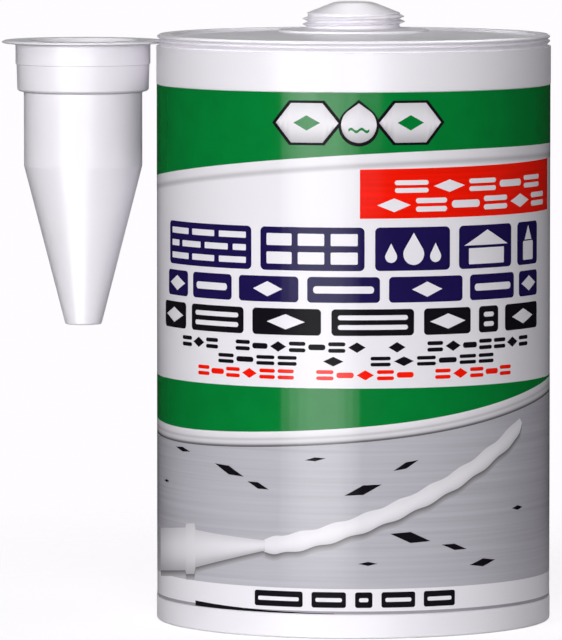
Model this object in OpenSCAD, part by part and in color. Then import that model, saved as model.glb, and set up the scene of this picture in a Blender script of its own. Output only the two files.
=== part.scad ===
// Cartridge of sealing paste for a caulking gun: a moulded tube with a grooved rim and a threaded neck,
// a wrap-round label, the paste, the piston that pushes it out, and a nozzle hooked on the rim.
// Millimetres, +Z up. The origin is the centre of the rear edge, on which the tube stands.

/* [Tube] */
// Outside radius of the tube
tube_r = 25; // [20:0.5:32]
// Height from the rear edge to the top of the rim
tube_h = 74.3; // [60:0.1:230]
// Thickness of the tube wall
wall_t = 1.6; // [1.2:0.1:2.2]
// Height of the lead-in taper inside the rear edge
lead_h = 1.5; // [0.5:0.1:3]
// Depth of the lead-in taper
lead_d = 0.6; // [0.2:0.1:0.8]

/* [Rim and shoulder] */
// Width of the raised rim round the shoulder
rim_w = 1.9; // [1.4:0.1:3]
// Depth of the shoulder below the rim
recess_d = 0.4; // [0.2:0.05:1]
// How far the crests of the two rim rings stand back from the tube wall
ring_inset = 0.1; // [0:0.05:0.25]
// Depth of the upper ring's crest below the top of the rim
ring_drop = 0.22; // [0.15:0.01:0.3]
// Distance between the crests of the two rings
ring_pitch = 0.61; // [0.5:0.01:0.8]
// Depth of the V notch between the rings
notch_d = 0.42; // [0.2:0.01:0.6]
// Height of the hook groove below the lower ring's crest
groove_h = 0.64; // [0.6:0.01:0.7]
// Depth of the hook groove, from the tube wall
groove_d = 0.55; // [0.45:0.05:0.6]
// Thickness of the shoulder
shoulder_t = 1.6; // [1.2:0.1:2.4]
// Rise of the shoulder from the rim to the foot of the neck
shoulder_rise = 0.72; // [0.3:0.02:1.5]

/* [Neck] */
// Radius of the raised foot round the neck
foot_r = 9.5; // [8.5:0.1:12]
// Height of the raised foot
foot_h = 0.25; // [0.15:0.05:0.5]
// Rise of the foot's upper face from its edge to the neck
foot_rise = 0.2; // [0:0.05:0.3]
// Radius of the fillet between the foot and the neck
foot_fillet = 0.4; // [0.1:0.05:0.45]
// Radius of the neck under its thread
neck_r = 5.8; // [4.5:0.1:6.5]
// Height of the neck from the foot's edge to the cone
neck_h = 2.1; // [1.9:0.05:8]
// Wall thickness of the neck and of the cone that closes it
neck_wall = 1.1; // [0.8:0.1:1.8]
// How far the edge of the cone stands out of the neck
cone_lip = 0.12; // [0.05:0.01:0.3]
// Height of the cone that closes the neck
cone_h = 1.4; // [1:0.1:4]
// Radius of the cone's flat end
cone_end_r = 2.1; // [1.5:0.1:3.5]

/* [Thread] */
// Distance from one turn to the next
pitch = 0.68; // [0.66:0.02:1.2]
// Height of the ridge over the neck
ridge_d = 0.7; // [0.3:0.05:0.8]
// Width of the ridge where it stands on the wall
ridge_w = 0.6; // [0.25:0.01:0.64]
// Width of the ridge's crest
crest_w = 0.06; // [0.04:0.01:0.2]
// Height of the ridge's start over the edge of the neck's foot
thread_start = 0.5; // [0.45:0.05:0.6]
// Clearance of the nozzle's thread round the neck
thread_clear = 0.1; // [0.05:0.05:0.3]

/* [Nozzle] */
// Length from the flange to the tip
nozzle_len = 36.3; // [25:0.1:60]
// Thickness of the flange
flange_t = 0.38; // [0.3:0.02:0.4]
// How far the flange stands out of the collar
flange_w = 1.75; // [0.8:0.05:3]
// Depth of the threaded collar below the flange's face
collar_h = 6.25; // [4:0.05:9]
// Wall thickness of the collar
collar_wall = 2; // [1.4:0.1:3]
// Depth of the shallow step on the collar's side
step_h = 3.05; // [1.5:0.05:3.5]
// Set-back of that step
step_d = 0.12; // [0.05:0.01:0.3]
// Depth at which the cone starts
cone_start = 16; // [12:0.05:20]
// Wall thickness below the collar
nozzle_wall = 0.95; // [0.8:0.05:1.3]
// Outside radius of the tip
tip_r = 2.3; // [2:0.1:4]
// Direction in which the nozzle hangs, in degrees from +X
hang_angle = 170.1; // [90:0.1:180]
// Room between the flange's underside and the lower edge of the groove that it hooks into
hook_clear = 0.08; // [0.07:0.01:0.1]
// Room between the flange's edge and the root of that groove
hook_gap = 0.17; // [0.15:0.01:0.2]

/* [Piston] */
// Distance of the piston from the rear edge
piston_inset = 8; // [4:0.5:20]
// Height of the piston
piston_h = 12; // [9:0.5:25]
// Running clearance of the wiper lips in the tube
lip_clear = 0.05; // [0.02:0.01:0.1]
// How far the lips stand out of the piston's side
lip_d = 0.6; // [0.3:0.1:1]
// Height of one lip
lip_h = 1.2; // [1:0.1:1.6]
// Number of lips
lip_count = 3; // [2:1:4]
// Wall thickness of the piston
piston_wall = 1.2; // [0.8:0.1:2]
// Height of the ribs on the piston's floor
rib_h = 1.5; // [0.8:0.1:3]
// Thickness of the ribs
rib_t = 1; // [0.8:0.1:1.6]
// Number of ribs
rib_count = 8; // [4:1:12]
// Radius of the ring that the ribs run out from
hub_r = 7.5; // [4:0.5:8]

/* [Label] */
// Height of bare wall below the label
label_low = 3; // [2:0.1:10]
// Height of bare wall and rim above the label
label_gap = 6.3; // [4:0.1:12]
// Thickness of the label film
film_t = 0.15; // [0.08:0.01:0.25]
// How far the film's face lies below the wall
film_sunk = 0.05; // [0.04:0.01:0.1]
// Thickness of the glue under the film
glue_t = 0.02; // [0.01:0.01:0.05]

/* [Print] */
// Thickness of a printed field
ink_t = 0.03; // [0.01:0.01:0.03]
// Height of the upper green band, halfway up its sloping edge
upper_h = 9.6; // [5:0.1:12]
// Rise of the upper band's sloping edge
upper_rise = 2.6; // [0:0.1:4]
// Side on which that edge is highest, in degrees from the front
upper_side = 55; // [0:1:359]
// Height of the lower band's straight edge over the label's lower edge
lower_top = 28.25; // [20:0.25:30]
// Height of the lower green band, halfway up its sloping edge
lower_h = 2.75; // [2:0.05:4]
// Rise of the lower band's sloping edge
lower_rise = 3.14; // [0:0.02:4]
// Side on which that edge is highest, in degrees from the front
lower_side = 120; // [0:1:359]
// Width of the pale piping under the lower band
piping_w = 1.9; // [0.5:0.1:3]
// Height of the white band under the grey field
foot_band = 3.26; // [2:0.02:6]
// Distance of the red panel from the label's upper edge
panel_gap = 9.4; // [9:0.1:12]
// Height of the red panel
panel_h = 6.3; // [3:0.1:7]
// Side of the red panel's left edge, in degrees from the front
panel_side = 1.3; // [-30:0.1:40]
// Width of the red panel, in degrees
panel_turn = 76.7; // [30:0.1:90]

/* [Hidden] */
$fn = 96;

edge = 0.1;                 // small edge break on the mouldings
corner = 0.8;               // fillet between the tube wall and the shoulder inside
paste_gap = 0.05;           // room kept between the paste and what holds it
embed = 0.25;               // how deep a thread ridge is rooted in its wall
turn_steps = 32;            // steps in one turn of a thread
fade_turn = 0.2;            // share of a turn over which a thread ridge runs out
arc_steps = 6;              // steps in a fillet
mouth_chamfer = 0.3;        // widening at the nozzle's mouth
mouth_depth = 0.8;          // depth of that widening
collar_draft = 0.1;         // how much the collar narrows below its step
collar_round = 0.2;         // edge break at the collar's lower end
collar_chamfer = 0.4;       // height of the slope under the collar
flange_slope = 0.4;         // width of the slope on the flange's upper face
flange_under = 0.3;         // width of the slope on its lower face
flange_edge = 0.1;          // thickness of the flange's edge
edge_share = 0.4;           // share of the flange's thickness over that edge
ring_slope = 0.3;           // width of the slope over the upper ring's crest
groove_flat = 0.1;          // height of the flat at the groove's root
root_share = 0.68;          // share of the groove's height over the middle of that flat
cone_round = 0.6;           // width of the slope round the cone's flat end
cone_drop = 0.13;           // height of that slope
over = 1;                   // how far a cutter runs past what it cuts
lip_flare = 0.8;            // height of a lip's flared side

bore_r = tube_r - wall_t;
rim_in_r = tube_r - rim_w;
ring_r = tube_r - ring_inset;
groove_r = tube_r - groove_d;
ring1_z = tube_h - ring_drop;
ring2_z = ring1_z - ring_pitch;
groove_z = ring2_z - root_share * groove_h;
groove_low = ring2_z - groove_h;

shoulder_z = tube_h - recess_d;
foot_z = shoulder_z + shoulder_rise + foot_h;
cone_z = foot_z + neck_h;
tip_z = cone_z + cone_h;
under_z = shoulder_z - shoulder_t;
neck_bore_r = neck_r - neck_wall;
cavity_z = tip_z - neck_wall;
cavity_r = cone_end_r - neck_wall / 2;
crest_r = neck_r + ridge_d;
thread_z = foot_z + thread_start;
thread_turns = (cone_z - ridge_w / 2 - thread_z) / pitch;

label_z = label_low + paste_gap;
label_top = tube_h - label_gap;
film_r = tube_r - film_sunk;
seat_r = film_r - film_t - glue_t;

socket_r = crest_r + thread_clear;
collar_r = socket_r + collar_wall;
flange_r = collar_r + flange_w;
body_r = socket_r + nozzle_wall;
tip_bore_r = tip_r - nozzle_wall;
hang_dist = groove_r + hook_gap + flange_r;
hang_z = groove_low + hook_clear + flange_t;

piston_top = piston_inset + piston_h;
lip_r = bore_r - lip_clear;
side_r = lip_r - lip_d;
lip_step = (piston_h - corner - lip_h - edge) / (lip_count - 1);
cup_r = side_r - piston_wall;
floor_z = piston_h - piston_wall;

// Points on a round corner of radius r about (cx, cz), from angle a to angle b
function arc(cx, cz, r, a, b) =
    [for (i = [0:arc_steps]) let (t = a + (b - a) * i / arc_steps) [cx + r * cos(t), cz + r * sin(t)]];

// Height of the thread ridge, from 0 to 1, after t turns of n: it runs out at both ends
function fade(t, n) = min(1, t / fade_turn, (n - t) / fade_turn);

// One helical ridge that stands on a round wall: outwards if crest is over wall, inwards if under it
module thread(wall, crest, turns) {
    way = sign(crest - wall);
    steps = ceil(turns * turn_steps);
    rings = [for (i = [0:steps])
        let (t = turns * i / steps, a = 360 * t, z = pitch * t, h = fade(t, turns),
             foot = wall - way * embed,
             top = wall + (crest - wall) * h - way * edge * (1 - h),
             section = [[foot, -ridge_w / 2], [top, -crest_w / 2], [top, crest_w / 2], [foot, ridge_w / 2]])
        for (p = section) [p[0] * cos(a), p[0] * sin(a), z + p[1]]];
    sides = [for (i = [0:steps - 1], j = [0:3])
        let (a = 4 * i + j, b = 4 * i + (j + 1) % 4)
        for (f = [[a, b, b + 4], [a, b + 4, a + 4]]) f];
    last = 4 * steps;
    caps = [[3, 2, 1], [3, 1, 0], [last, last + 1, last + 2], [last, last + 2, last + 3]];
    faces = [for (f = concat(sides, caps)) way > 0 ? f : [f[2], f[1], f[0]]];
    polyhedron(points = rings, faces = faces, convexity = 6);
}

// Half section of the tube's outside, from the rear edge up to the tip of the neck
function barrel_outside() = concat(
    [[tube_r, 0], [tube_r, label_low], [seat_r, label_low], [seat_r, label_top + paste_gap],
     [tube_r, label_top + paste_gap], [tube_r, groove_low]],
    [[groove_r, groove_z - groove_flat / 2], [groove_r, groove_z + groove_flat / 2]],
    [[ring_r, ring2_z], [ring_r - notch_d, (ring1_z + ring2_z) / 2], [ring_r, ring1_z]],
    [[ring_r - ring_slope, tube_h], [rim_in_r + edge, tube_h], [rim_in_r, tube_h - edge]],
    [[rim_in_r, shoulder_z], [foot_r, shoulder_z + shoulder_rise]],
    [[foot_r, foot_z - edge], [foot_r - edge, foot_z]],
    arc(neck_r + foot_fillet, foot_z + foot_rise + foot_fillet, foot_fillet, -90, -180),
    [[neck_r, cone_z - cone_lip], [neck_r + cone_lip, cone_z]],
    [[cone_end_r + cone_round, tip_z - cone_drop], [cone_end_r, tip_z], [0, tip_z]]);

// Half section of the tube's inside, from the neck down to the rear edge
function barrel_inside() = concat(
    [[0, cavity_z], [cavity_r, cavity_z], [neck_bore_r, cone_z], [neck_bore_r, under_z + shoulder_rise]],
    [[foot_r, under_z + shoulder_rise]],
    arc(bore_r - corner, under_z - corner, corner, 90, 0),
    [[bore_r, lead_h], [bore_r + lead_d, 0]]);

module barrel() {
    color("white") {
        rotate_extrude() polygon(concat(barrel_outside(), barrel_inside()));
        translate([0, 0, thread_z]) rotate([0, 0, 90]) thread(neck_r, crest_r, thread_turns);
    }
}

// Paste: it fills the tube from the piston to the shoulder, and the neck
module sealant() {
    low = piston_top + paste_gap;
    high = under_z - paste_gap;
    r = bore_r - paste_gap;
    neck = neck_bore_r - paste_gap;
    color("ghostwhite")
        rotate_extrude()
            polygon(concat(
                [[0, low + shoulder_rise], [foot_r, low + shoulder_rise], [r, low]],
                arc(r - corner, high - corner, corner, 0, 90),
                [[foot_r, high + shoulder_rise], [neck, high + shoulder_rise], [neck, cone_z - paste_gap]],
                [[cavity_r - paste_gap, cavity_z - paste_gap], [0, cavity_z - paste_gap]]));
}

// Outside of one wiper lip, z being its lower edge: it flares out and is cut square
function lip(z) = [[side_r, z], [lip_r, z + lip_flare], [lip_r, z + lip_h], [side_r, z + lip_h]];

module piston() {
    color("gainsboro") translate([0, 0, piston_inset]) {
        rotate_extrude()
            polygon(concat(
                [[cup_r, 0], [side_r, 0]],
                [for (i = [0:lip_count - 1]) each lip(edge + i * lip_step)],
                [[side_r, piston_h], [foot_r, piston_h + shoulder_rise], [0, piston_h + shoulder_rise]],
                [[0, floor_z + shoulder_rise], [hub_r - rib_t, floor_z + shoulder_rise]],
                [[hub_r - rib_t, floor_z - rib_h], [hub_r, floor_z - rib_h]],
                [[hub_r, floor_z + shoulder_rise], [foot_r, floor_z + shoulder_rise], [cup_r, floor_z]]));
        for (i = [0:rib_count - 1])
            rotate([90, 0, 360 * i / rib_count]) floor_rib();
    }
}

// One radial rib under the piston's floor, rooted half a wall deep in the floor, the ring and the side
module floor_rib() {
    root = piston_wall / 2;
    translate([0, 0, -rib_t / 2])
        linear_extrude(height = rib_t)
            polygon([[hub_r - rib_t / 2, floor_z - rib_h], [cup_r + root, floor_z - rib_h],
                     [cup_r + root, floor_z + root], [foot_r, floor_z + shoulder_rise + root],
                     [hub_r - rib_t / 2, floor_z + shoulder_rise + root]]);
}

// Half section of the nozzle as it hangs, from its mouth at z = 0 down to its tip
function nozzle_section() = [
    [socket_r + mouth_chamfer, 0], [flange_r - flange_slope, 0], [flange_r, -edge_share * flange_t],
    [flange_r, -edge_share * flange_t - flange_edge], [flange_r - flange_under, -flange_t],
    [collar_r, -flange_t], [collar_r, -step_h], [collar_r - step_d, -step_h],
    [collar_r - step_d - collar_draft, -collar_h],
    [collar_r - step_d - collar_draft - collar_round, -collar_h - collar_round],
    [body_r, -collar_h - collar_chamfer], [body_r, -cone_start],
    [tip_r, -nozzle_len], [tip_bore_r, -nozzle_len], [socket_r, -cone_start], [socket_r, -mouth_depth]];

module nozzle() {
    color("white")
        translate([hang_dist * cos(hang_angle), hang_dist * sin(hang_angle), hang_z]) {
            rotate_extrude() polygon(nozzle_section());
            translate([0, 0, -mouth_depth - ridge_w - pitch * thread_turns])
                thread(socket_r, neck_r + thread_clear, thread_turns);
        }
}

// Film of the label and its printed fields, a thin tube between two radii and two heights
module wrap(inside, outside, low, high) {
    translate([0, 0, low])
        difference() {
            cylinder(r = outside, h = high - low);
            translate([0, 0, -over]) cylinder(r = inside, h = high - low + 2 * over);
        }
}

// Everything below a sloping plane: z at its middle, its rise over the label and the side where it is highest
module below(z, rise, side) {
    reach = 2 * tube_r;
    rotate([0, 0, side])
        translate([0, 0, z])
            rotate([-atan(rise / film_r), 0, 0])
                translate([-reach, -reach, -tube_h])
                    cube([2 * reach, 2 * reach, tube_h]);
}

// Upright wedge that opens by turn degrees from the side given, counted from the front
module wedge(side, turn) {
    reach = 2 * tube_r;
    linear_extrude(height = tube_h)
        polygon([[0, 0], reach * [sin(side), -cos(side)], reach * [sin(side + turn), -cos(side + turn)]]);
}

module ink(low, high) {
    wrap(film_r - film_t / 2, film_r + ink_t, low, high);
}

module label() {
    upper_edge = label_top - upper_h;
    lower_line = label_low + lower_top;
    lower_edge = lower_line - lower_h;
    panel_top = label_top - panel_gap;
    color("white") wrap(film_r - film_t, film_r, label_z, label_top);
    color("green") difference() {
        ink(upper_edge - upper_rise - over, label_top);
        below(upper_edge, upper_rise, upper_side);
    }
    color("green") difference() {
        ink(lower_edge - lower_rise - over, lower_line);
        below(lower_edge, lower_rise, lower_side);
    }
    color("silver") intersection() {
        ink(label_low + foot_band, lower_line);
        below(lower_edge - piping_w, lower_rise, lower_side);
    }
    color("red") intersection() {
        ink(panel_top - panel_h, panel_top);
        wedge(panel_side, panel_turn);
    }
}

barrel();
label();
sealant();
piston();
nozzle();
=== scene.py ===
"""Looks of a cartridge of sealing paste, its nozzle hooked on the rim: mouldings, printed film and light.

Sizes are millimetres as on a drawing, and MM turns them into metres. Angles round the tube are degrees
from the front of the label, which faces -Y, and grow to the right.
"""
import math

import bpy
import numpy as np
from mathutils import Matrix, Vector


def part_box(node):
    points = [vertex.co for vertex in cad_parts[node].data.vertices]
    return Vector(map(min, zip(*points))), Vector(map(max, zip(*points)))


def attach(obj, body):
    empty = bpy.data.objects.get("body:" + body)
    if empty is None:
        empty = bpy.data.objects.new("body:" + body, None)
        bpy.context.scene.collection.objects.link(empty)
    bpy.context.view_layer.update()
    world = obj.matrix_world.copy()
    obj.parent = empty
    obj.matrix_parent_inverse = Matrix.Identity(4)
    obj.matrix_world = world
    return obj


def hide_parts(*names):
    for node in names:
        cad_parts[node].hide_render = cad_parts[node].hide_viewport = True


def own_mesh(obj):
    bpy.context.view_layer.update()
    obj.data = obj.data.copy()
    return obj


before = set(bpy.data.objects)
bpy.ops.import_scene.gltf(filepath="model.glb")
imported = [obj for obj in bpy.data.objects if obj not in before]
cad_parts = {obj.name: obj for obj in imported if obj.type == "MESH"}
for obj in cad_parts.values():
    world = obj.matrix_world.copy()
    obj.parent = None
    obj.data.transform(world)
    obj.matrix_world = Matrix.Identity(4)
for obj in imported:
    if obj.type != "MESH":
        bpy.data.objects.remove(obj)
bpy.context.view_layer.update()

MM = 0.001

# Boxes of the solids, in metres
barrel_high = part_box("barrel")[1]
label_low, label_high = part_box("label")
piston_low, piston_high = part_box("piston")
nozzle_low, nozzle_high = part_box("nozzle")

# Sizes of the tube
tube_r = barrel_high.x / MM
wall_t = 1.6
lead_h = 1.5           # lead-in of the bore at its open rear
lead_d = 0.6
rim_w = 1.9
recess_d = 0.4         # from the rim down to the shoulder
ring_inset = 0.1
ring_drop = 0.22
ring_pitch = 0.61
ring_slope = 0.3
notch_d = 0.52         # depth of the notch between the two rings of the rim
groove_d = 0.55
groove_h = 0.64
groove_flat = 0.1
groove_ledge = 0.03    # rise of the almost level sides of the notch and the groove
ring_land = 0.11       # height of the rings' flat crests
shoulder_t = 1.6
shoulder_rise = 0.72
foot_r = 9.5
foot_h = 0.25
foot_rise = 0.2
foot_fillet = 0.4
neck_r = 5.8
neck_h = 2.1
neck_wall = 1.1
cone_lip = 0.12
cone_h = 1.4
cone_end_r = 2.1
cone_round = 0.6
cone_drop = 0.13
corner = 0.8

tip_z = barrel_high.z / MM
cone_z = tip_z - cone_h
foot_z = cone_z - neck_h
shoulder_z = foot_z - foot_h - shoulder_rise
rim_z = shoulder_z + recess_d
under_z = shoulder_z - shoulder_t
bore_r = tube_r - wall_t
rim_in_r = tube_r - rim_w
ring_r = tube_r - ring_inset
groove_r = tube_r - groove_d
ring1_z = rim_z - ring_drop
ring2_z = ring1_z - ring_pitch
groove_low = ring2_z - groove_h
neck_bore_r = neck_r - neck_wall
cavity_z = tip_z - neck_wall
cavity_r = cone_end_r - neck_wall / 2

# Sizes of the label
film_t = 0.15
film_sunk = 0.05
seat_gap = 0.05
glue_t = 0.02
film_r = tube_r - film_sunk
seat_r = film_r - film_t - glue_t
label_z = label_low.z / MM
label_top = label_high.z / MM

# Sizes of the thread
pitch = 0.68
ridge_d = 0.7
ridge_w = 0.6
crest_w = 0.06
thread_start = 0.5
thread_clear = 0.1
fade_turn = 0.2
crest_r = neck_r + ridge_d
thread_z = foot_z + thread_start
thread_turns = (cone_z - ridge_w / 2 - thread_z) / pitch
neck_thread_turn = 0.25

# Sizes of the nozzle
nozzle_x = (nozzle_low.x + nozzle_high.x) / 2 / MM
nozzle_y = (nozzle_low.y + nozzle_high.y) / 2 / MM
flange_z = nozzle_high.z / MM
nozzle_len = (nozzle_high.z - nozzle_low.z) / MM
flange_r = (nozzle_high.x - nozzle_low.x) / 2 / MM
flange_t = 0.38
flange_w = 1.75
flange_slope = 0.4
flange_under = 0.3
flange_edge = 0.1
edge_share = 0.4
collar_h = 6.25
collar_draft = 0.1
collar_round = 0.2
collar_chamfer = 0.4
step_h = 3.05
step_d = 0.12
cone_start = 16
nozzle_wall = 0.95
tip_r = 2.3
mouth_chamfer = 0.3
mouth_depth = 0.8
mouth_plain = 0.1      # plain wall between the thread and the mouth's chamfer
thread_run = 1         # plain wall between the bore's end and the thread
socket_r = crest_r + thread_clear
collar_r = flange_r - flange_w
body_r = socket_r + nozzle_wall
tip_bore_r = tip_r - nozzle_wall

# Sizes of the piston and the paste
piston_z = piston_low.z / MM
piston_h = piston_high.z / MM - piston_z - shoulder_rise
lip_r = piston_high.x / MM
lip_d = 0.6
lip_h = 1.2
lip_flare = 0.8
lip_count = 3
lip_low = 0.1
piston_wall = 1.2
hub_r = 7.5
rib_h = 1.5
rib_t = 1
rib_count = 8
side_r = lip_r - lip_d
cup_r = side_r - piston_wall
floor_z = piston_h - piston_wall
lip_step = (piston_h - corner - lip_h - lip_low) / (lip_count - 1)
paste_gap = 0.05

ROUND = 360            # faces in one turn of a moulding
ARC = 4                # faces in one rounded corner
ARC_SHARE = 0.8        # most of half a side that an arc may take
PAST_ARC = 1.3         # where the point past an arc stands, in reaches of the arc
PAST_SHARE = 0.95      # and at most, as a share of half a side
THREAD_ROW = 0.035     # height of one row of faces through a thread


def rounded(corners):
    """Outline through corners (r, z, radius), each rounded by an arc that touches both of its sides.

    An arc of radius q at a corner whose sides open by the angle a starts q / tan(a / 2) from the corner.
    One more point stands on each side just past the arc, so that flat stretches keep a flat shading.
    """
    points = np.array([c[:2] for c in corners], float)
    radii = [c[2] if len(c) > 2 else 0 for c in corners]
    out = [points[0]]
    for k in range(1, len(points) - 1):
        back, on = points[k - 1] - points[k], points[k + 1] - points[k]
        room = min(np.linalg.norm(back), np.linalg.norm(on)) / 2
        back, on = back / np.linalg.norm(back), on / np.linalg.norm(on)
        half = math.acos(float(np.clip(back @ on, -1, 1))) / 2
        reach = min(radii[k] / math.tan(half), ARC_SHARE * room) if radii[k] else 0
        if not reach:
            out.append(points[k])
            continue
        q = reach * math.tan(half)
        centre = points[k] + (back + on) / np.linalg.norm(back + on) * q / math.sin(half)
        a, b = (points[k] + back * reach - centre) / q, (points[k] + on * reach - centre) / q
        turn = math.pi - 2 * half
        s = np.linspace(0, 1, ARC + 1)[:, None]
        arc = centre + q * (np.sin((1 - s) * turn) * a + np.sin(s * turn) * b) / math.sin(turn)
        past = min(PAST_ARC * reach, PAST_SHARE * room)
        out += [points[k] + back * past, *arc, points[k] + on * past]
    out.append(points[-1])
    return np.array(out)


def new_piece(name, points, faces, material, smooth_below=38):
    """Mesh object from points in millimetres and arrays of face corners, smooth but for sharp edges."""
    mesh = bpy.data.meshes.new(name)
    mesh.from_pydata(np.asarray(points) * MM, [], [row for f in faces for row in f.tolist()])
    mesh.polygons.foreach_set("use_smooth", np.ones(len(mesh.polygons), bool))
    mesh.set_sharp_from_angle(angle=math.radians(smooth_below))
    mesh.materials.append(material)
    piece = bpy.data.objects.new(name, mesh)
    bpy.context.scene.collection.objects.link(piece)
    return piece


def turned(outline, centre=(0, 0), closed=False, shift=None):
    """Surface of revolution of an outline of (r, z) that runs counterclockwise, with +r to the right.

    Point (i, j) is centre + r_i * (cos t_j, sin t_j) at height z_i, where t_j is the j-th part of a turn,
    and shift(t, z, r) is added to the radius. An outline that isn't closed starts and ends on the axis, and
    has one point at each pole.
    """
    r, z = outline[:, 0], outline[:, 1]
    if not closed:
        r, z = r[1:-1], z[1:-1]
    t = np.arange(ROUND) * 2 * math.pi / ROUND
    radius = np.repeat(r[:, None], ROUND, 1)
    if shift:
        radius = radius + shift(t[None, :], z[:, None], r[:, None])
    points = np.stack([centre[0] + radius * np.cos(t), centre[1] + radius * np.sin(t),
                       np.repeat(z[:, None], ROUND, 1)], -1).reshape(-1, 3)
    n = len(r)
    i = np.arange(n if closed else n - 1)[:, None]
    j = np.arange(ROUND)[None, :]
    a, b = i * ROUND + j, i * ROUND + (j + 1) % ROUND
    up = ((i + 1) % n) * ROUND
    faces = [np.stack([a, b, up + (j + 1) % ROUND, up + j], -1).reshape(-1, 4)]
    if not closed:
        poles = np.array([[centre[0], centre[1], outline[0, 1]], [centre[0], centre[1], outline[-1, 1]]])
        first, last = len(points), len(points) + 1
        points = np.concatenate([points, poles])
        j, k = np.arange(ROUND), (np.arange(ROUND) + 1) % ROUND
        top = (n - 1) * ROUND
        faces.append(np.stack([k, j, np.full(ROUND, first)], -1))
        faces.append(np.stack([top + j, top + k, np.full(ROUND, last)], -1))
    return points, faces


def ridge(start, first_turn, wall, way):
    """Radius that a right-hand thread adds to a wall, by the ridge's trapezoid section across the helix.

    The helix rises by one pitch a turn. The share of the ridge's height is what is left of half its width
    past a point's distance from the helix along z, over the width of its slope. The ridge runs out over
    part of a turn at both ends. Where the wall has a fillet, whichever stands out further counts.
    """
    def shift(t, z, r):
        """What to add at the angle t, the height z and the radius r."""
        around = t / (2 * math.pi) - first_turn
        turn = np.round((z - start) / pitch - around) + around
        away = np.abs(z - start - pitch * turn)
        section = np.clip((ridge_w / 2 - away) / (ridge_w / 2 - crest_w / 2), 0, 1)
        fade = np.clip(np.minimum(turn, thread_turns - turn) / fade_turn, 0, 1)
        threaded = (np.abs(r - wall) <= foot_fillet) & (np.abs(z - start - pitch) < 2 * pitch)
        return way * threaded * np.maximum(ridge_d * section * fade - np.abs(r - wall), 0)
    return shift


def thread_rows(wall, low, high, fillet=0):
    """Rows of an outline up a threaded wall, close enough for the ridge, with a round fillet at its foot.

    In the fillet of radius q the wall stands out by q less the root of q squared less the square of the
    height left in it.
    """
    z = np.linspace(low, high, math.ceil((high - low) / THREAD_ROW) + 1)
    left = np.clip(low + fillet - z, 0, fillet)
    return np.stack([wall + fillet - np.sqrt(fillet ** 2 - left ** 2), z], -1)


def joined(parts):
    """Several pairs of points and faces as one."""
    points, faces, count = [], [], 0
    for p, f in parts:
        points.append(p)
        faces += [rows + count for rows in f]
        count += len(p)
    return np.concatenate(points), faces


# Materials

WHITE = (0.82, 0.796, 0.848)
SHADE_WAVES = 70       # waves a metre in the colour of a moulding
GLOSS_WAVES = 240      # in its gloss
PEEL_WAVES = 1400      # in its orange peel
INK_WAVES = 300        # in the colour of ink
NOISE_LOW = 0.3        # the middle of a noise's values, over which a ramp goes
NOISE_HIGH = 0.7
PALER = 1.02           # how much paler a moulding gets in places
GLOSS_SPREAD = 0.03    # how far the roughness of a moulding strays
PEEL_DEPTH = 6e-7      # metres
SEEP_SHARES = (1, 0.95, 0.9)       # how far red, green and blue light seep into a moulding
INK_ROUGH = 0.4
VARNISH_ROUGH = 0.08
VARNISH_IOR = 1.5


def tree(name):
    """A new material, its nodes and links, and its shader."""
    material = bpy.data.materials.new(name)
    material.use_nodes = True
    nodes, links = material.node_tree.nodes, material.node_tree.links
    return material, nodes, links, nodes["Principled BSDF"]


def noise(nodes, links, scale, detail=2, stretch=(1, 1, 1)):
    """Noise over the object's own coordinates, in waves of 1 / scale metres, stretched by its mapping."""
    where = nodes.new("ShaderNodeTexCoord")
    mapping = nodes.new("ShaderNodeMapping")
    mapping.inputs["Scale"].default_value = stretch
    texture = nodes.new("ShaderNodeTexNoise")
    texture.inputs["Scale"].default_value = scale
    texture.inputs["Detail"].default_value = detail
    links.new(where.outputs["Object"], mapping.inputs["Vector"])
    links.new(mapping.outputs["Vector"], texture.inputs["Vector"])
    return texture.outputs["Fac"]


def between(nodes, links, factor, low, high):
    """A ramp from one value or colour to another over the middle of a noise."""
    ramp = nodes.new("ShaderNodeValToRGB")
    ramp.color_ramp.elements[0].position = NOISE_LOW
    ramp.color_ramp.elements[1].position = NOISE_HIGH
    for element, value in zip(ramp.color_ramp.elements, (low, high)):
        element.color = (*value, 1) if hasattr(value, "__len__") else (value, value, value, 1)
    links.new(factor, ramp.inputs["Fac"])
    return ramp.outputs["Color"]


def bump(nodes, links, shader, height, depth):
    """Fine relief of a depth in metres."""
    relief = nodes.new("ShaderNodeBump")
    relief.inputs["Distance"].default_value = depth
    links.new(height, relief.inputs["Height"])
    links.new(relief.outputs["Normal"], shader.inputs["Normal"])


def moulded(name, colour, rough, glow=0.12, depth=0.001):
    """Moulded polyethylene: a gloss that varies a little, faint orange peel, and light that seeps in."""
    material, nodes, links, shader = tree(name)
    paler = tuple(min(1, c * PALER) for c in colour)
    shade = between(nodes, links, noise(nodes, links, SHADE_WAVES), colour, paler)
    gloss = between(nodes, links, noise(nodes, links, GLOSS_WAVES),
                    rough - GLOSS_SPREAD, rough + GLOSS_SPREAD)
    links.new(shade, shader.inputs["Base Color"])
    links.new(gloss, shader.inputs["Roughness"])
    bump(nodes, links, shader, noise(nodes, links, PEEL_WAVES, 3), PEEL_DEPTH)
    shader.inputs["Subsurface Weight"].default_value = glow
    shader.inputs["Subsurface Scale"].default_value = depth
    shader.inputs["Subsurface Radius"].default_value = SEEP_SHARES
    return material


def varnished(shader, coat=1):
    """The label's clear varnish: a thin coat with a nearly sharp reflection, over ink without gloss."""
    shader.inputs["Coat Weight"].default_value = coat
    shader.inputs["Coat Roughness"].default_value = VARNISH_ROUGH
    shader.inputs["Coat IOR"].default_value = VARNISH_IOR
    shader.inputs["Specular IOR Level"].default_value = 0


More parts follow.
